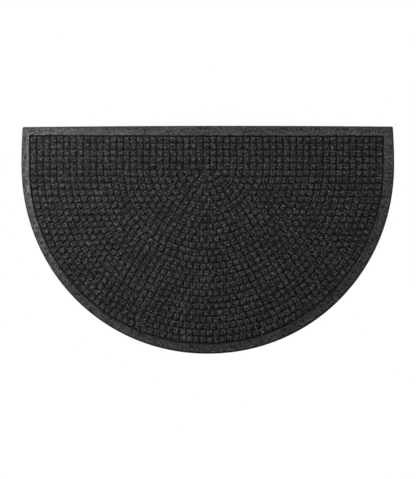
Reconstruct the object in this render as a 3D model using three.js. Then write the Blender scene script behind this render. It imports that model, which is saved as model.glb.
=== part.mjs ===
// A half round entrance mat, in millimetres: a fibre face on a rubber backing, lying flat on the floor.
// +X runs along the straight edge, +Y points towards it, and +Z is up.
// The origin is in the middle of the mat's length and depth, at the underside.
import * as THREE from 'three';

// The outline from above. The round side is nearly half an ellipse, and the straight edge stands beyond its widest
// line. The sides lean in a little towards the corners, and the straight edge bows out a little.
const WIDTH = 990.6;
const DEPTH = 605.6;
const ROUND_DEPTH = 502.9; // from the widest line to the lowest point of the round side
const FULLNESS = 2.03; // the power of the round side's curve, where 2 is an ellipse
const CORNER_LEAN = 3.2; // how far each side has come in at its corner
const EDGE_BOW = 2.6; // how far the middle of the straight edge stands beyond the corners
const CORNER_RADIUS = 4;
const WIDEST_Y = ROUND_DEPTH - DEPTH / 2;
const CORNER_HEIGHT = DEPTH - ROUND_DEPTH - EDGE_BOW; // from the widest line to the corners

// The moulded field inside the border. It lies a little off the outline's middle and a little turned, so the border
// is narrowest on the left and widest at the lower right.
const FIELD_SHIFT_X = -3.1;
const FIELD_SHIFT_Y = -5.3; // from the outline's widest line
const FIELD_TURN = THREE.MathUtils.degToRad(-0.17);
const FIELD_HALF_WIDTH = 470; // to the border's inner edge
const FIELD_DEPTH = 473.9;
const FIELD_FULLNESS = 2.018;
const FIELD_HEIGHT = 81; // from the field's centre to the inner edge of the straight border
const GROOVE_WIDTH = 5;
const FIELD_CORNER_RADIUS = 5;

// Heights above the floor.
const BACKING_THICKNESS = 2;
const BOND_GAP = 0.3; // between the backing and the felt
const GROOVE_FLOOR = 4.1;
const BORDER_TOP = 8.5;
const NUB_TOP = 9.5; // the field is a plain plate as high as its nubs

const RIM = 2.8; // how far the backing shows outside the felt
const RUBBER_EDGE = 0.5; // the backing's rounded edges
const FELT_EDGE = 1.6; // the felt's rounded outer edge
const WALL_DRAFT = 0.8; // how far each wall of the groove leans

const ROUND_STEPS = 96;
const SIDE_STEPS = 6;
const CORNER_STEPS = 4;
const TOP_STEPS = 12;

// The round side, from its left widest point to its right one. It is a little fuller than an ellipse.
function roundSide(halfWidth, roundDepth, fullness) {
  const points = [];
  for (let step = 1; step <= ROUND_STEPS; step += 1) {
    const turn = Math.PI * (1 + step / ROUND_STEPS);
    const across = Math.cos(turn);
    const down = Math.sin(turn);
    const reach = (Math.abs(across) ** fullness + Math.abs(down) ** fullness) ** (-1 / fullness);
    points.push(new THREE.Vector2(halfWidth * reach * across, roundDepth * reach * down));
  }
  return points;
}

// The points of one closed half round, counterclockwise from its left widest point, turned and then moved to x, y.
function halfRound({ x = 0, y, turn = 0, halfWidth, roundDepth, fullness, cornerX, cornerHeight, bow, radius }) {
  const points = roundSide(halfWidth, roundDepth, fullness);
  const at = (px, py) => new THREE.Vector2(px, py);
  const bend = (from, control, to, steps) => {
    points.push(...new THREE.QuadraticBezierCurve(from, control, to).getPoints(steps).slice(1));
  };

  const sideTop = cornerHeight - radius;
  const edgeEnd = cornerX - radius;
  bend(at(halfWidth, 0), at(halfWidth, cornerHeight / 2), at(cornerX, sideTop), SIDE_STEPS);
  bend(at(cornerX, sideTop), at(cornerX, cornerHeight), at(edgeEnd, cornerHeight), CORNER_STEPS);
  bend(at(edgeEnd, cornerHeight), at(0, cornerHeight + 2 * bow), at(-edgeEnd, cornerHeight), TOP_STEPS);
  bend(at(-edgeEnd, cornerHeight), at(-cornerX, cornerHeight), at(-cornerX, sideTop), CORNER_STEPS);
  bend(at(-cornerX, sideTop), at(-halfWidth, cornerHeight / 2), at(-halfWidth, 0), SIDE_STEPS);
  return points.map((point) => point.rotateAround(new THREE.Vector2(), turn).add(new THREE.Vector2(x, y)));
}

// The mat's own outline, moved in by an inset.
function matOutline(inset) {
  return halfRound({
    y: WIDEST_Y,
    halfWidth: WIDTH / 2 - inset,
    roundDepth: ROUND_DEPTH - inset,
    fullness: FULLNESS,
    cornerX: WIDTH / 2 - CORNER_LEAN - inset,
    cornerHeight: CORNER_HEIGHT - inset,
    bow: EDGE_BOW,
    radius: Math.max(CORNER_RADIUS - inset, 1),
  });
}

// The border's inner edge, moved in by an inset towards the field.
function fieldOutline(inset) {
  return halfRound({
    x: FIELD_SHIFT_X,
    y: WIDEST_Y + FIELD_SHIFT_Y,
    turn: FIELD_TURN,
    halfWidth: FIELD_HALF_WIDTH - inset,
    roundDepth: FIELD_DEPTH - inset,
    fullness: FIELD_FULLNESS,
    cornerX: FIELD_HALF_WIDTH - inset,
    cornerHeight: FIELD_HEIGHT - inset,
    bow: 0,
    radius: FIELD_CORNER_RADIUS,
  });
}

// A closed body through a stack of rings with equally many points, listed from its underside to its top.
function stack(rings) {
  const count = rings[0].points.length;
  const positions = rings.flatMap(({ points, z }) => points.flatMap((p) => [p.x, p.y, z]));
  const faces = [];
  for (let ring = 0; ring < rings.length - 1; ring += 1) {
    for (let i = 0; i < count; i += 1) {
      const next = (i + 1) % count;
      const below = ring * count;
      const above = below + count;
      faces.push(below + i, below + next, above + next, below + i, above + next, above + i);
    }
  }
  for (const [a, b, c] of THREE.ShapeUtils.triangulateShape(rings[0].points, [])) {
    faces.push(a, c, b);
  }
  const last = (rings.length - 1) * count;
  for (const [a, b, c] of THREE.ShapeUtils.triangulateShape(rings.at(-1).points, [])) {
    faces.push(last + a, last + b, last + c);
  }
  const geometry = new THREE.BufferGeometry();
  geometry.setAttribute('position', new THREE.Float32BufferAttribute(positions, 3));
  geometry.setIndex(faces);
  geometry.computeVertexNormals();
  return geometry;
}

// The rubber sheet, flat on both sides, with both edges rounded off.
function rubberBacking() {
  const geometry = stack([
    { points: matOutline(RUBBER_EDGE), z: 0 },
    { points: matOutline(0), z: RUBBER_EDGE },
    { points: matOutline(0), z: BACKING_THICKNESS - RUBBER_EDGE },
    { points: matOutline(RUBBER_EDGE), z: BACKING_THICKNESS },
  ]);
  const rubber = new THREE.MeshStandardMaterial({ color: '#1b1b1c', roughness: 0.75, metalness: 0 });
  const mesh = new THREE.Mesh(geometry, rubber);
  mesh.name = 'rubber_backing';
  return mesh;
}

// The moulded felt: over its outer edge, across the border, down into the groove and up onto the field.
function fibreFace() {
  const geometry = stack([
    { points: matOutline(RIM), z: BACKING_THICKNESS + BOND_GAP },
    { points: matOutline(RIM), z: BORDER_TOP - FELT_EDGE },
    { points: matOutline(RIM + FELT_EDGE * 0.3), z: BORDER_TOP - FELT_EDGE * 0.3 },
    { points: matOutline(RIM + FELT_EDGE), z: BORDER_TOP },
    { points: fieldOutline(0), z: BORDER_TOP },
    { points: fieldOutline(WALL_DRAFT), z: GROOVE_FLOOR },
    { points: fieldOutline(GROOVE_WIDTH - WALL_DRAFT), z: GROOVE_FLOOR },
    { points: fieldOutline(GROOVE_WIDTH), z: NUB_TOP },
  ]);
  const felt = new THREE.MeshStandardMaterial({ color: '#3b3b3c', roughness: 0.95, metalness: 0 });
  const mesh = new THREE.Mesh(geometry, felt);
  mesh.name = 'fibre_face';
  return mesh;
}

const mat = new THREE.Group();
mat.add(rubberBacking(), fibreFace());

export default mat;
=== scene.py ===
import math

import bpy
import numpy as np
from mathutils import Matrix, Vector, geometry


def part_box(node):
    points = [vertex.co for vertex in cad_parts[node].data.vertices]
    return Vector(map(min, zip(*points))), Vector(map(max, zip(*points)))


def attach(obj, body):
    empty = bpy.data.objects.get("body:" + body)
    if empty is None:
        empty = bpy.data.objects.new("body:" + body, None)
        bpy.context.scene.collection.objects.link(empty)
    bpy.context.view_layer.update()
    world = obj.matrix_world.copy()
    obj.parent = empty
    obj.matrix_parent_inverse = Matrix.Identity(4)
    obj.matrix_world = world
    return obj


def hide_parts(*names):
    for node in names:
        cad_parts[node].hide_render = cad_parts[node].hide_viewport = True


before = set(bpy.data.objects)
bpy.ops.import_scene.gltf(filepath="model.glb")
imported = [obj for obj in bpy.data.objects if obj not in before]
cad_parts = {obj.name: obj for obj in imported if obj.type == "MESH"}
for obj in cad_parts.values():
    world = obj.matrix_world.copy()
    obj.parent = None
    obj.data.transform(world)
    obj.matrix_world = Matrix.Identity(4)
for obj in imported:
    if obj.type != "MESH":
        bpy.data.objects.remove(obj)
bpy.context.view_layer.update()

# Rubber backing. One flat moulded sheet of black rubber, bonded under the felt. It is cut about 3 mm wider
# than the felt all round, so it shows from above as a thin dark rim. The mould has rounded its edges.
backing_low, backing_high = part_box("rubber_backing")
WIDTH = backing_high.x - backing_low.x
DEPTH = backing_high.y - backing_low.y
ROUND_DEPTH = 0.5029  # from the widest line to the lowest point of the round side
FULLNESS = 2.03  # the power of the round side's curve, where 2 is an ellipse
CORNER_LEAN = 0.0032  # how far each side has come in at its corner
EDGE_BOW = 0.0026  # how far the middle of the straight edge stands beyond the corners
CORNER_RADIUS = 0.004
SMALLEST_RADIUS = 0.001
RUBBER_EDGE = 0.0005
WIDEST_Y = backing_low.y + ROUND_DEPTH
CORNER_HEIGHT = DEPTH - ROUND_DEPTH - EDGE_BOW

ROUND_STEPS = 200
SIDE_STEPS = 14
CORNER_STEPS = 4
TOP_STEPS = 124


def bend(start, control, end, steps):
    """Points along a quadratic curve, without its start."""
    t = np.arange(1, steps + 1)[:, None] / steps
    return (1 - t) ** 2 * np.array(start) + 2 * t * (1 - t) * np.array(control) + t**2 * np.array(end)


def round_side(half_width, round_depth, power, turn):
    """Points on the round side's curve, by how far round from the right they are."""
    reach = (abs(np.cos(turn)) ** power + abs(np.sin(turn)) ** power) ** (-1 / power)
    return np.stack([half_width * reach * np.cos(turn), round_depth * reach * np.sin(turn)], axis=-1)


def half_round(middle, half_width, round_depth, power, corner, bow, radius):
    """A closed outline, counterclockwise from its left widest point. corner is the right corner, given from
    the middle."""
    corner_x, corner_y = corner
    side_top = corner_y - radius
    edge_end = corner_x - radius
    turn = math.pi * (1 + np.arange(1, ROUND_STEPS + 1) / ROUND_STEPS)
    stretches = [
        round_side(half_width, round_depth, power, turn),
        bend((half_width, 0), (half_width, corner_y / 2), (corner_x, side_top), SIDE_STEPS),
        bend((corner_x, side_top), (corner_x, corner_y), (edge_end, corner_y), CORNER_STEPS),
        bend((edge_end, corner_y), (0, corner_y + 2 * bow), (-edge_end, corner_y), TOP_STEPS),
        bend((-edge_end, corner_y), (-corner_x, corner_y), (-corner_x, side_top), CORNER_STEPS),
        bend((-corner_x, side_top), (-half_width, corner_y / 2), (-half_width, 0), SIDE_STEPS),
    ]
    return np.array(middle) + np.concatenate(stretches)


def mat_outline(inset):
    """The mat's own outline, moved in by an inset, or out where the inset is below 0."""
    return half_round(
        (0, WIDEST_Y),
        WIDTH / 2 - inset,
        ROUND_DEPTH - inset,
        FULLNESS,
        (WIDTH / 2 - CORNER_LEAN - inset, CORNER_HEIGHT - inset),
        EDGE_BOW,
        max(CORNER_RADIUS - inset, SMALLEST_RADIUS),
    )


def raised(outline, z):
    """The points of an outline at a height, or at a height for each of them."""
    return np.column_stack([outline, np.broadcast_to(z, len(outline))])


def rows_joined(rows, count, first=0):
    """The triangles between closed rows of equally many points, each above or inside the one before."""
    here = np.arange(count)
    after = (here + 1) % count
    joined = []
    for row in range(rows - 1):
        below = first + row * count
        above = below + count
        joined.append(np.stack([below + here, below + after, above + after], axis=1))
        joined.append(np.stack([below + here, above + after, above + here], axis=1))
    return np.concatenate(joined)


def filled(outline_row, first):
    """Rows of points that fill a closed row towards its middle, and their triangles. first is the index of
    the row's own first point."""
    count = len(outline_row)
    middle = outline_row.mean(axis=0)
    points = [middle + (outline_row - middle) * share for share in (0.75, 0.5, 0.25)]
    here = np.arange(count) + first + 3 * count
    fan = np.stack([here, np.roll(here, -1), np.full(count, first + 4 * count)], axis=1)
    return np.concatenate([*points, middle[None]]), np.concatenate([rows_joined(4, count, first), fan])


def closed_underneath(row, so_far):
    """Points and triangles that close a piece under its first row. They follow the points it has so far, and
    only the outer row is shared with the wall."""
    points, triangles = filled(row, 0)
    shared = triangles < len(row)
    return points, np.where(shared, triangles, triangles - len(row) + so_far)[:, ::-1]


def mesh_piece(name, points, triangles, spread, underneath=None):
    """A smooth shaded mesh. spread is where each point lies once the skin is spread flat, and underneath
    marks the triangles of the flat underside, which are laid out beside the rest."""
    mesh = bpy.data.meshes.new(name)
    mesh.vertices.add(len(points))
    mesh.vertices.foreach_set("co", points.astype(np.float32).ravel())
    mesh.loops.add(triangles.size)
    mesh.loops.foreach_set("vertex_index", triangles.astype(np.int32).ravel())
    mesh.polygons.add(len(triangles))
    mesh.polygons.foreach_set("loop_start", np.arange(0, triangles.size, 3, dtype=np.int32))
    mesh.polygons.foreach_set("use_smooth", np.ones(len(triangles), bool))
    mesh.update(calc_edges=True)
    corner = spread.min(axis=0)
    size = spread.max(axis=0) - corner
    flat = (spread - corner) / size
    if underneath is None:
        layout = flat[triangles]
    else:
        top_share = size[1] / size[0]
        beside = (points[:, :2] - corner) / size * (1, 0.96 - top_share) + (0, top_share + 0.02)
        layout = np.where(underneath[:, None, None], beside[triangles], (flat * (1, top_share))[triangles])
    mesh.uv_layers.new(name="OFBake").data.foreach_set("uv", layout.astype(np.float32).ravel())
    piece = bpy.data.objects.new(name, mesh)
    bpy.context.scene.collection.objects.link(piece)
    return piece


backing_rows = [
    raised(mat_outline(RUBBER_EDGE), backing_low.z),
    raised(mat_outline(0), backing_low.z + RUBBER_EDGE),
    raised(mat_outline(0), backing_high.z - RUBBER_EDGE),
    raised(mat_outline(RUBBER_EDGE), backing_high.z),
]
count = len(backing_rows[0])
over, over_triangles = filled(backing_rows[-1], 3 * count)
under, under_triangles = closed_underneath(backing_rows[0], 4 * count + len(over))
backing_points = np.concatenate([*backing_rows, over, under])
backing_triangles = np.concatenate([rows_joined(4, count), over_triangles, under_triangles])
backing_spread = backing_points[:, :2].copy()
backing_spread[:count] = mat_outline(-backing_high.z)
backing_spread[count : 2 * count] = mat_outline(RUBBER_EDGE - backing_high.z)
backing = mesh_piece(
    "rubber_sheet",
    backing_points,
    backing_triangles,
    backing_spread,
    np.arange(len(backing_triangles)) >= len(backing_triangles) - len(under_triangles),
)


def linear(colour):
    """A linear colour from an sRGB hex value."""
    values = [int(colour[i : i + 2], 16) / 255 for i in (1, 3, 5)]
    return (*[v / 12.92 if v <= 0.04045 else ((v + 0.055) / 1.055) ** 2.4 for v in values], 1)


def add_node(tree, kind, inputs=(), stops=(), **settings):
    """Adds a node. inputs gives values or other nodes' outputs by socket, and stops gives a ramp's places and
    colours."""
    node = tree.nodes.new(kind)
    for name, value in settings.items():
        setattr(node, name, value)
    for place, colour in stops[2:]:
        node.color_ramp.elements.new(place)
    for element, (place, colour) in zip(node.color_ramp.elements if stops else (), stops):
        element.position = place
        element.color = linear(colour)
    for name, value in dict(inputs).items():
        if isinstance(value, bpy.types.NodeSocket):
            tree.links.new(value, node.inputs[name])
        else:
            node.inputs[name].default_value = value
    return node


# Moulded black rubber: matt, nearly black, with the fine leathery grain that a steel mould leaves.
GRAIN = 0.0025  # coarser than real grain, which is too fine to show here
BLOOM = 0.05  # how broad the slightly paler patches are
rubber = bpy.data.materials.new("moulded_black_rubber")
rubber.use_nodes = True
tree = rubber.node_tree
skin = tree.nodes["Principled BSDF"]
place = add_node(tree, "ShaderNodeTexCoord").outputs["Object"]
grain = add_node(tree, "ShaderNodeTexNoise", {"Vector": place, "Scale": 1 / GRAIN, "Detail": 3})
bloom = add_node(tree, "ShaderNodeTexNoise", {"Vector": place, "Scale": 1 / BLOOM, "Detail": 2})
shade = add_node(
    tree,
    "ShaderNodeValToRGB",
    {"Fac": bloom.outputs["Fac"]},
    [(0.35, "#0b0b0c"), (0.7, "#141415")],
)
polish = add_node(
    tree,
    "ShaderNodeMapRange",
    {"Value": grain.outputs["Fac"], "To Min": 0.62, "To Max": 0.8},
)
relief = add_node(
    tree,
    "ShaderNodeBump",
    {"Height": grain.outputs["Fac"], "Distance": 0.0002, "Strength": 0.5},
)
tree.links.new(shade.outputs["Color"], skin.inputs["Base Color"])
tree.links.new(polish.outputs["Result"], skin.inputs["Roughness"])
tree.links.new(relief.outputs["Normal"], skin.inputs["Normal"])
skin.inputs["IOR"].default_value = 1.52
backing.data.materials.append(rubber)
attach(backing, "root")
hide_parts("rubber_backing")

# Felt face. One needle-punched polypropylene felt, heat-moulded in a single press: the border is pressed
# flat, a narrow groove runs inside it, and the field stands up in square nubs, in straight rows and in rings.
felt_low, felt_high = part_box("fibre_face")
RIM = (WIDTH - (felt_high.x - felt_low.x)) / 2
BORDER_TOP = 0.0085
FELT_EDGE = 0.0016
GROOVE_FLOOR = 0.0041
GAP_FLOOR = 0.0045  # between the nubs, where the felt isn't pressed quite as deep
WALL_DRAFT = 0.0008
DISH = 0.0008  # how far the middle of the border lies below its edges
NUB_TOP = felt_high.z
FIELD_X = -0.0031
FIELD_Y = WIDEST_Y - 0.0053
FIELD_TURN = math.radians(-0.17)  # how the moulded field lies turned inside the outline
FIELD_HALF_WIDTH = 0.47  # the border's inner edge
FIELD_DEPTH = 0.4739
FIELD_FULLNESS = 2.018
FIELD_HEIGHT = 0.081  # from the middle of the rings to the straight border
FIELD_CORNER = 0.005

COLUMN_PITCH = 0.01763
RING_PITCH = 0.01768
RING_START = 0.0002
RINGS = 26
ROW_PITCH = 0.0176
ROWS = 5
NUB = 0.0136
ROW_NUB_WIDTH = 0.013
RING_NUB_DEPTH = 0.014
NUB_GAP = 0.0047
WIDEST_NUB = 0.0175
# A half ring has three steps more than the one inside it, and two more again from ring 14. These differ.
UNUSUAL_STEPS = {1: 2, 2: 5, 26: 81}
STRAIGHT = 1e4  # a straight row is a ring of a very large radius

rng = np.random.default_rng(7)


def in_field(points):
    """Points given from the middle of the rings, turned and moved to where they lie in the mat."""
    cosine, sine = math.cos(FIELD_TURN), math.sin(FIELD_TURN)
    return np.array([FIELD_X, FIELD_Y]) + points @ np.array([[cosine, sine], [-sine, cosine]])


def field_outline(inset):
    """The border's inner edge, moved in by an inset towards the field."""
    half_width = FIELD_HALF_WIDTH - inset
    corner = (half_width, FIELD_HEIGHT - inset)
    depth = FIELD_DEPTH - inset
    return in_field(half_round((0, 0), half_width, depth, FIELD_FULLNESS, corner, 0, FIELD_CORNER))


def nub_layout():
    """The nubs in columns by name: middle, way outwards, the ring's radius and half of the nub's sides."""
    half = NUB / 2
    row_half = ROW_NUB_WIDTH / 2
    columns = [RING_START + COLUMN_PITCH * ring for ring in range(1, RINGS + 1)]
    nubs = [
        (column, row * ROW_PITCH, math.pi / 2, STRAIGHT, row_half, half)
        for row in range(ROWS)
        for column in [-place for place in reversed(columns)] + [0] + columns
    ]
    half = RING_NUB_DEPTH / 2
    for ring, column in enumerate(columns, 1):
        radius = RING_START + RING_PITCH * ring
        steps = UNUSUAL_STEPS.get(ring, 3 * ring + (2 if ring > 13 else 0))
        across = min(math.pi * radius / steps - NUB_GAP, WIDEST_NUB) / 2
        for step in range(1, steps):
            outward = math.pi * (1 + step / steps)
            nubs.append((*round_side(column, radius, FIELD_FULLNESS, outward), outward, radius, across, half))
    x, y, outward, radius, half_across, half_along = np.array(nubs).T
    x, y = in_field(np.stack([x, y], axis=1)).T
    return {
        "x": x,
        "y": y,
        "outward": outward + FIELD_TURN,
        "radius": radius,
        "half_across": half_across,
        "half_along": half_along,
    }


# The press and the fibres leave no two nubs quite alike.
PLACE_SPREAD = 0.00038
TURN_SPREAD = math.radians(3.5)
SIZE_SPREAD = 0.045
LEAN_SPREAD = 0.04
nubs = nub_layout()
NUBS = len(nubs["x"])
nubs["x"] += rng.normal(0, PLACE_SPREAD, NUBS)
nubs["y"] += rng.normal(0, PLACE_SPREAD, NUBS)
nubs["outward"] += rng.normal(0, TURN_SPREAD, NUBS)
nubs["half_across"] *= rng.normal(1, SIZE_SPREAD, NUBS)
nubs["half_along"] *= rng.normal(1, SIZE_SPREAD, NUBS)
nubs["squareness"] = rng.uniform(3.2, 5.2, NUBS)
nubs["height"] = NUB_TOP - GAP_FLOOR + rng.uniform(-0.0007, 0, NUBS)
nubs["lean_across"] = rng.normal(0, LEAN_SPREAD, NUBS)
nubs["lean_along"] = rng.normal(0, LEAN_SPREAD, NUBS)

# A nub's height, as a share of its full height, by how far out from its middle a point is.
SHOULDER_PLACES = (0, 0.4, 0.72, 0.9, 1.0, 1.08)
SHOULDER_HEIGHTS = (1, 0.985, 0.95, 0.83, 0.45, 0)


def on_nubs(which, across, along, lift=0):
    """Points on the surface of nubs, from how far across and along each nub they are."""
    nub = {name: column[which] for name, column in nubs.items()}
    power = nub["squareness"]
    out_across = abs(across / nub["half_across"]) ** power
    out_along = abs(along / nub["half_along"]) ** power
    out = (out_across + out_along) ** (1 / power)
    rise = np.interp(out, SHOULDER_PLACES, SHOULDER_HEIGHTS)
    tilt = nub["lean_across"] * across + nub["lean_along"] * along
    z = GAP_FLOOR + nub["height"] * rise + tilt * rise + lift
    turn = across / nub["radius"]
    sideways = (nub["radius"] + along) * np.sin(turn)
    outwards = (nub["radius"] + along) * np.cos(turn) - nub["radius"]
    cosine, sine = np.cos(nub["outward"]), np.sin(nub["outward"])
    x = nub["x"] + outwards * cosine + sideways * sine
    y = nub["y"] + outwards * sine - sideways * cosine
    return np.stack([x, y, z], axis=-1)


# Three points round each corner of a nub and none along its sides, in rows from its foot to its crown.
around = np.radians([corner + turn for corner in (45, 135, 225, 315) for turn in (-16, 0, 16)])
nub_rows = np.array(SHOULDER_PLACES[:0:-1])
every_nub = np.arange(NUBS)[:, None, None]
power = nubs["squareness"][every_nub]
reach = (abs(np.cos(around)) ** power + abs(np.sin(around)) ** power) ** (-1 / power) * nub_rows[:, None]
reach = reach * (1 + rng.normal(0, 0.03, reach.shape) * (nub_rows[:, None] < 1.05))
across = nubs["half_across"][every_nub] * reach * np.cos(around)
along = nubs["half_along"][every_nub] * reach * np.sin(around)
nub_points = on_nubs(every_nub, across, along)
nub_points[:, 1:, :, 2] += rng.normal(0, 0.00022, nub_points.shape[:3])[:, 1:]
crowns = on_nubs(np.arange(NUBS), np.zeros(NUBS), np.zeros(NUBS))
crowns[:, 2] += rng.normal(0, 0.0002, NUBS)
nub_block = np.concatenate([nub_points.reshape(NUBS, -1, 3), crowns[:, None]], axis=1)

AROUND = len(around)
last_row = (len(nub_rows) - 1) * AROUND + np.arange(AROUND)
crown_fan = np.stack([last_row, np.roll(last_row, -1), np.full(AROUND, len(nub_rows) * AROUND)], axis=1)
one_nub = np.concatenate([rows_joined(len(nub_rows), AROUND), crown_fan])
nub_triangles = (one_nub[None] + (np.arange(NUBS) * nub_block.shape[1])[:, None, None]).reshape(-1, 3)


def unevenness(x, y, size):
    """Soft humps and hollows between about -1 and 1, as broad as size."""
    waves = np.random.default_rng(int(size * 1e5))
    total = 0
    for _ in range(12):
        heading = waves.uniform(0, 2 * math.pi)
        width = size * waves.uniform(1.2, 2.8)
        phase = waves.uniform(0, 2 * math.pi)
        total = total + np.sin((x * math.cos(heading) + y * math.sin(heading)) * 2 * math.pi / width + phase)
    return total / 4


# The border from its foot outside to its foot in the groove.
outer = mat_outline(RIM + FELT_EDGE)
inner = field_outline(-0.0015)
BORDER_STRIPS = 6
RIPPLE = 0.014  # the waves in the pressed band are 1.2 to 2.8 times as long


def border_height(x, y, inwards):
    """The height of the border's skin, from how far across the band a point is."""
    return BORDER_TOP - DISH * 4 * inwards * (1 - inwards) + 0.0002 * unevenness(x, y, RIPPLE)


shares = [*np.linspace(0, 0.94, BORDER_STRIPS), 1]
band = [(outer + (inner - outer) * share, share) for share in shares]
border_rows = [
    raised(mat_outline(RIM), felt_low.z),
    raised(mat_outline(RIM), BORDER_TOP - FELT_EDGE),
    raised(mat_outline(RIM + FELT_EDGE * 0.3), BORDER_TOP - FELT_EDGE * 0.3),
    *[raised(row, border_height(*row.T, share)) for row, share in band],
    raised(field_outline(-0.0006), BORDER_TOP - 0.0004),
    raised(field_outline(0), BORDER_TOP - 0.0012),
    raised(field_outline(0.0004), BORDER_TOP - 0.0026),
    raised(field_outline(WALL_DRAFT), GROOVE_FLOOR),
]
# Felt doesn't press to a sharp line, so the border's inner edge wanders a little. Only the band and the start
# of the rounding inside it touch the hot press. The cut edge outside and the steeper felt inside stay open.
wander = rng.normal(0, 0.0004, inner.shape)
for row in border_rows[-3:]:
    row[:, :2] += wander
FIRST_PRESSED = 3
LAST_PRESSED = len(border_rows) - 4
count = len(outer)
border_points = np.concatenate(border_rows)
border_triangles = rows_joined(len(border_rows), count)

# The floor of the groove and of the gaps between the nubs, triangulated round every nub's foot.
feet = nub_block[:, :AROUND, :2]
floor_corners = np.concatenate([border_rows[-1][:, :2], feet.reshape(-1, 2)])
loops = [list(range(count))] + [
    list(range(count + i * AROUND, count + (i + 1) * AROUND)) for i in range(NUBS)
]
corners, _, floor_faces, origins, _, owners = geometry.delaunay_2d_cdt(
    [Vector(corner) for corner in floor_corners], [], loops, 0, 1e-9, True
)
last_border_row = (len(border_rows) - 1) * count
first_nub = len(border_points)
floor_index = np.arange(len(floor_corners))
foot_nub, foot_step = np.divmod(floor_index - count, AROUND)
floor_index = np.where(
    floor_index < count,
    last_border_row + floor_index,
    first_nub + foot_nub * nub_block.shape[1] + foot_step,
)
floor_triangles = np.array(
    [
        [floor_index[origins[corner][0]] for corner in face]
        for face, owner in zip(floor_faces, owners)
        if owner == [0]
    ]
)

above_under = np.concatenate([border_points, nub_block.reshape(-1, 3)])
under, under_triangles = closed_underneath(border_rows[0], len(above_under))
felt_points = np.concatenate([above_under, under])
felt_triangles = np.concatenate(
    [border_triangles, nub_triangles + first_nub, floor_triangles, under_triangles]
)
felt_spread = felt_points[:, :2].copy()
felt_spread[:count] = mat_outline(RIM - (BORDER_TOP - felt_low.z))
face = mesh_piece(
    "felt_face",
    felt_points,
    felt_triangles,
    felt_spread,
    np.arange(len(felt_triangles)) >= len(felt_triangles) - len(under_triangles),
)
pressed = np.zeros(len(felt_triangles), np.int32)
pressed[2 * count * FIRST_PRESSED : 2 * count * LAST_PRESSED] = 1

# Open felt of the nubs: polypropylene fibres of charcoal, black and a little light grey, matt and full of
# small shadows, so it is the darker of the two finishes.
TUFT = 0.0036  # clumps of fibres, drawn coarser than real ones so that they show
felt = bpy.data.materials.new("needle_punched_felt")
felt.use_nodes = True
tree = felt.node_tree
skin = tree.nodes["Principled BSDF"]
place = add_node(tree, "ShaderNodeTexCoord").outputs["Object"]
tufts = add_node(
    tree,
    "ShaderNodeTexNoise",
    {"Vector": place, "Scale": 1 / TUFT, "Detail": 3, "Roughness": 0.7},
)
shade = add_node(
    tree,
    "ShaderNodeValToRGB",
    {"Fac": tufts.outputs["Fac"]},
    [(0.38, "#030304"), (0.5, "#0c0c0d"), (0.61, "#2b2b2c")],
)
# Painted shade: the felt's colour darkens towards the floor of the gaps, where the fibres shade each other.
depth = add_node(tree, "ShaderNodeSeparateXYZ", {"Vector": place}).outputs["Z"]
painted_gap_shade = add_node(
    tree,
    "ShaderNodeMapRange",
    {"Value": depth, "From Min": GROOVE_FLOOR, "From Max": NUB_TOP - 0.0018, "To Min": 0.77, "To Max": 1},
)
shaded = add_node(
    tree,
    "ShaderNodeVectorMath",
    {"Vector": shade.outputs["Color"], "Scale": painted_gap_shade.outputs["Result"]},
    operation="SCALE",
)
relief = add_node(tree, "ShaderNodeBump", {"Height": tufts.outputs["Fac"], "Distance": 0.002, "Strength": 1})
tree.links.new(shaded.outputs["Vector"], skin.inputs["Base Color"])
tree.links.new(relief.outputs["Normal"], skin.inputs["Normal"])
skin.inputs["Roughness"].default_value = 0.95
skin.inputs["IOR"].default_value = 1.49
skin.inputs["Specular IOR Level"].default_value = 0.2

# Hot-pressed felt of the border: the same fibres ironed flat against the mould, so they lie close, catch the
# light with a broad soft sheen and look lighter than the nubs.
PRESSED_TUFT = 0.0054  # the clumps spread as they are pressed
border_felt = bpy.data.materials.new("hot_pressed_felt")
border_felt.use_nodes = True
tree = border_felt.node_tree
skin = tree.nodes["Principled BSDF"]
place = add_node(tree, "ShaderNodeTexCoord").outputs["Object"]
tufts = add_node(
    tree,
    "ShaderNodeTexNoise",
    {"Vector": place, "Scale": 1 / PRESSED_TUFT, "Detail": 3, "Roughness": 0.7},
)
shade = add_node(
    tree,
    "ShaderNodeValToRGB",
    {"Fac": tufts.outputs["Fac"]},
    [(0.37, "#020203"), (0.5, "#070708"), (0.63, "#1d1d1e")],
)
fused = add_node(
    tree,
    "ShaderNodeMapRange",
    {"Value": tufts.outputs["Fac"], "From Min": 0.37, "From Max": 0.63, "To Min": 0.08, "To Max": 0.77},
)
relief = add_node(tree, "ShaderNodeBump", {"Height": tufts.outputs["Fac"], "Distance": 0.0024, "Strength": 1})
tree.links.new(fused.outputs["Result"], skin.inputs["Specular IOR Level"])
skin.inputs["Roughness"].default_value = 0.35
tree.links.new(shade.outputs["Color"], skin.inputs["Base Color"])
tree.links.new(relief.outputs["Normal"], skin.inputs["Normal"])
skin.inputs["IOR"].default_value = 1.49
face.data.materials.append(felt)
face.data.materials.append(border_felt)
face.data.polygons.foreach_set("material_index", pressed)
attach(face, "root")
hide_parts("fibre_face")

# Loose fibres. The needles leave the felt's fibres in bent strands that lie over the nubs and stand out past
# their shoulders. Light grey, mid grey and charcoal fibres are mixed, and the border holds flatter ones.
STRANDS = 30000
MOTTLE = 0.05  # the waves in the mix of fibres are 1.2 to 2.8 times as long
EDGE_REACH = 0.965  # scales where strands lie across a nub, up to 0.93 of half its side
EDGE_CROWDING = 1.3  # in radians along a sine, so that strands crowd towards the nub's edges
NEARBY = 0.0004  # the step by which the slope of a nub is found
TUCK = 0.0001  # how far a strand's ends lie in the felt
CREST = 0.45  # a strand's height over its path, as a share of half its width
FOOT = 0.25  # and its depth under it


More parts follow.
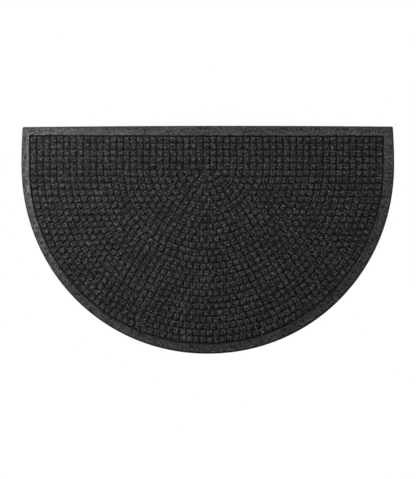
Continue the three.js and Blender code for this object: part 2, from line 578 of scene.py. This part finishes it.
def strands(name, paths, facing, width):
    """Closed spindles with a three-sided section along paths, an array of strand, point, place. Both ends
    taper. facing is the way up from what the strands lie on."""
    number, steps = paths.shape[:2]
    inside = paths[:, 1:-1]
    up = np.broadcast_to(facing, paths.shape)[:, 1:-1]
    side = np.cross(paths[:, 2:] - paths[:, :-2], up)
    side /= np.linalg.norm(side, axis=-1, keepdims=True)
    half = (width / 2)[:, None, None]
    crest = inside + up * half * CREST
    foot = inside - up * half * FOOT
    sections = np.stack([crest, foot - side * half, foot + side * half], axis=2).reshape(number, -1, 3)
    points = np.concatenate([paths[:, :1], sections, paths[:, -1:]], axis=1)
    ring = np.arange(3)
    after = np.roll(ring, -1)
    tail = 3 * (steps - 2) + 1
    start = np.stack([np.zeros(3, int), 1 + ring, 1 + after], axis=1)
    end = np.stack([np.full(3, tail), tail - 3 + after, tail - 3 + ring], axis=1)
    between = [1 + rows_joined(steps - 2, 3)[:, ::-1]] if steps > 3 else []
    one = np.concatenate([start, *between, end])
    triangles = (one[None] + (np.arange(number) * points.shape[1])[:, None, None]).reshape(-1, 3)
    points = points.reshape(-1, 3)
    return mesh_piece(name, points, triangles, points[:, :2])


def blended(number, amount):
    """The nub that each strand lies on. The mix isn't even, so some patches get more of one kind."""
    share = 1 + amount * unevenness(nubs["x"], nubs["y"], MOTTLE)
    filled_to = np.cumsum(share) / share.sum()
    return np.searchsorted(filled_to, (np.arange(number) + 0.5) / number)[:, None]


def towards_edges(number):
    """Places across a nub, as shares of half its side. The felt stays more open near a nub's edges, so more
    strands lie there."""
    return EDGE_REACH * np.sin(rng.uniform(-EDGE_CROWDING, EDGE_CROWDING, number))[:, None]


def nub_paths(number, steps, length, arch, amount):
    """Paths of strands that lie on nubs at any angle, bent sideways, with their ends tucked in, and the way
    up from the nub at each point."""
    which = blended(number, amount)
    t = np.linspace(-1, 1, steps)[None]
    half = rng.uniform(*length, number)[:, None] / 2
    heading = rng.uniform(0, 2 * math.pi, number)[:, None]
    swerve = rng.uniform(-0.5, 0.5, number)[:, None] * half * (1 - t**2)
    across = nubs["half_across"][which] * towards_edges(number)
    along = nubs["half_along"][which] * towards_edges(number)
    across = across + half * t * np.cos(heading) - swerve * np.sin(heading)
    along = along + half * t * np.sin(heading) + swerve * np.cos(heading)
    lift = rng.uniform(*arch, number)[:, None] * (1 - t**2) - TUCK
    points = on_nubs(which, across, along, lift)
    sideways = on_nubs(which, across + NEARBY, along, lift) - points
    outwards = on_nubs(which, across, along + NEARBY, lift) - points
    facing = np.cross(sideways, outwards)
    return points, facing / np.linalg.norm(facing, axis=-1, keepdims=True)


def bridging_paths(number, steps, length, arch):
    """Paths of strands that cross the gap beside a nub, below its top."""
    which = rng.integers(0, NUBS, number)[:, None]
    t = np.linspace(-1, 1, steps)[None]
    half = rng.uniform(*length, number)[:, None] / 2
    heading = rng.normal(0, 0.6, number)[:, None]
    beside = rng.uniform(-0.9, 0.9, number)[:, None]
    edge = rng.integers(0, 4, number)[:, None]
    way = np.where(edge % 2, 1, -1)
    sideways = edge < 2
    out = np.where(sideways, nubs["half_across"][which], nubs["half_along"][which]) + NUB_GAP / 2
    width = np.where(sideways, nubs["half_along"][which], nubs["half_across"][which])
    first = way * out + half * t * np.cos(heading)
    second = beside * width + half * t * np.sin(heading)
    points = on_nubs(which, np.where(sideways, first, second), np.where(sideways, second, first))
    height = NUB_TOP - rng.uniform(*arch, number)[:, None] - 0.0006 * t**2
    points[..., 2] = height
    return points


def border_paths(number, steps, length, arch):
    """Paths of strands that lie flat on the border at any angle."""
    t = np.linspace(-1, 1, steps)[None]
    half = rng.uniform(*length, number)[:, None] / 2
    heading = rng.uniform(0, 2 * math.pi, number)[:, None]
    swerve = rng.uniform(-0.5, 0.5, number)[:, None] * half * (1 - t**2)
    row = rng.integers(0, len(outer), number)
    inwards = rng.uniform(0.03, 0.97, number)[:, None]
    between = rng.uniform(0, 1, number)[:, None]
    after = (row + 1) % len(outer)
    here = outer[row] + (inner[row] - outer[row]) * inwards
    there = outer[after] + (inner[after] - outer[after]) * inwards
    middle = here + (there - here) * between
    x = middle[:, :1] + half * t * np.cos(heading) - swerve * np.sin(heading)
    y = middle[:, 1:] + half * t * np.sin(heading) + swerve * np.cos(heading)
    lift = rng.uniform(*arch, number)[:, None] * (1 - t**2) - TUCK
    return np.stack([x, y, border_height(x, y, inwards) + lift], axis=-1)


CLUMP = 0.003  # how long a fibre keeps its shade


def fibre_finish(name, dark, light):
    """Dyed polypropylene fibre: a slightly shiny thread whose shade drifts from one clump to the next."""
    fibre = bpy.data.materials.new(name)
    fibre.use_nodes = True
    tree = fibre.node_tree
    skin = tree.nodes["Principled BSDF"]
    place = add_node(tree, "ShaderNodeTexCoord").outputs["Object"]
    clumps = add_node(tree, "ShaderNodeTexNoise", {"Vector": place, "Scale": 1 / CLUMP, "Detail": 2})
    stops = [(0.35, dark), (0.65, light)]
    shade = add_node(tree, "ShaderNodeValToRGB", {"Fac": clumps.outputs["Fac"]}, stops)
    tree.links.new(shade.outputs["Color"], skin.inputs["Base Color"])
    skin.inputs["Roughness"].default_value = 0.6
    skin.inputs["IOR"].default_value = 1.49
    return fibre


UPWARDS = (0, 0, 1)
FIBRE = 0.0009  # much thicker than real fibres, which are too fine to show


def widths(number):
    """How wide each strand is."""
    return rng.uniform(0.7, 1.3, number) * FIBRE


light_fibres = strands(
    "light_grey_fibres",
    *nub_paths(STRANDS // 3, 4, (0.004, 0.009), (0.0003, 0.0009), 0.38),
    widths(STRANDS // 3),
)
grey_fibres = strands(
    "grey_fibres",
    *nub_paths(STRANDS, 3, (0.003, 0.006), (0.0003, 0.0009), 0.15),
    widths(STRANDS),
)
charcoal_fibres = strands(
    "charcoal_fibres",
    *nub_paths(STRANDS, 3, (0.003, 0.006), (0.0003, 0.0009), -0.28),
    widths(STRANDS),
)
bridging_fibres = strands(
    "bridging_fibres",
    bridging_paths(STRANDS // 6, 3, (0.004, 0.008), (0.0012, 0.0032)),
    UPWARDS,
    widths(STRANDS // 6),
)
border_fibres = strands(
    "border_fibres",
    border_paths(STRANDS // 5, 3, (0.003, 0.007), (0.0001, 0.0003)),
    UPWARDS,
    widths(STRANDS // 5),
)
fibres = [light_fibres, grey_fibres, charcoal_fibres, bridging_fibres, border_fibres]
light_fibres.data.materials.append(fibre_finish("light_grey_fibre", "#2e2e30", "#7b7b7d"))
grey_fibres.data.materials.append(fibre_finish("grey_fibre", "#151516", "#2b2b2c"))
charcoal_fibres.data.materials.append(fibre_finish("charcoal_fibre", "#060607", "#161617"))
bridging_fibres.data.materials.append(fibre_finish("bridging_fibre", "#121213", "#333334"))
border_fibres.data.materials.append(fibre_finish("pressed_fibre", "#09090a", "#464648"))
for piece in fibres:
    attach(piece, "root")

# Studio. The mat lies on a white light table, which leaves no shadow, under softboxes, and the camera looks
# straight down on the middle of the picture.
FLOOR_SIZE = 30
floor_mesh = bpy.data.meshes.new("light_table")
table_corners = [(x * FLOOR_SIZE, y * FLOOR_SIZE, -0.0005) for x, y in ((-1, -1), (1, -1), (1, 1), (-1, 1))]
floor_mesh.from_pydata(table_corners, [], [(0, 1, 2, 3)])
floor = bpy.data.objects.new("light_table", floor_mesh)
bpy.context.scene.collection.objects.link(floor)
white = bpy.data.materials.new("opal_glass")
white.use_nodes = True
skin = white.node_tree.nodes["Principled BSDF"]
skin.inputs["Base Color"].default_value = linear("#000000")
skin.inputs["Specular IOR Level"].default_value = 0
skin.inputs["Emission Color"].default_value = linear("#ffffff")
skin.inputs["Emission Strength"].default_value = 1
floor_mesh.materials.append(white)

# The surround is white up to just above the horizon and dim higher up.
world = bpy.data.worlds.new("studio")
bpy.context.scene.world = world
world.use_nodes = True
tree = world.node_tree
direction = add_node(tree, "ShaderNodeTexCoord").outputs["Generated"]
height = add_node(tree, "ShaderNodeSeparateXYZ", {"Vector": direction}).outputs["Z"]
cove = add_node(
    tree,
    "ShaderNodeMapRange",
    {"Value": height, "From Min": 0.2, "From Max": 0.3, "To Min": 1, "To Max": 0.02},
)
tree.links.new(cove.outputs["Result"], tree.nodes["Background"].inputs["Strength"])
tree.nodes["Background"].inputs["Color"].default_value = (1, 1, 1, 1)


SOFTBOX = 0.8  # each side of a softbox


def softbox(name, place, watts):
    """A square area light, turned to the middle of the mat."""
    lamp = bpy.data.lights.new(name, "AREA")
    lamp.size = SOFTBOX
    lamp.energy = watts
    box = bpy.data.objects.new(name, lamp)
    box.location = place
    box.rotation_euler = (-Vector(place)).to_track_quat("-Z", "Y").to_euler()
    bpy.context.scene.collection.objects.link(box)


softbox("key_softbox", (-1.2, 0.62, 0.95), 54)
softbox("fill_softbox", (1.1, 1.2, 1.1), 25.5)
softbox("front_softbox", (0, -1.4, 1.1), 6.5)

PHOTO_HEIGHT = 479  # in pixels
PIXEL = 0.0026576  # at the floor
LENS = 85
SENSOR = 36
camera = bpy.data.objects.new("camera", bpy.data.cameras.new("camera"))
camera.data.lens = LENS
camera.data.sensor_width = SENSOR
camera.location = (0.0003, 0.0007, PHOTO_HEIGHT * PIXEL * LENS / SENSOR)
camera.rotation_euler.z = math.radians(-0.08)
camera.data.clip_end = 100
bpy.context.scene.collection.objects.link(camera)
bpy.context.scene.camera = camera
bpy.context.scene.view_settings.view_transform = "Standard"
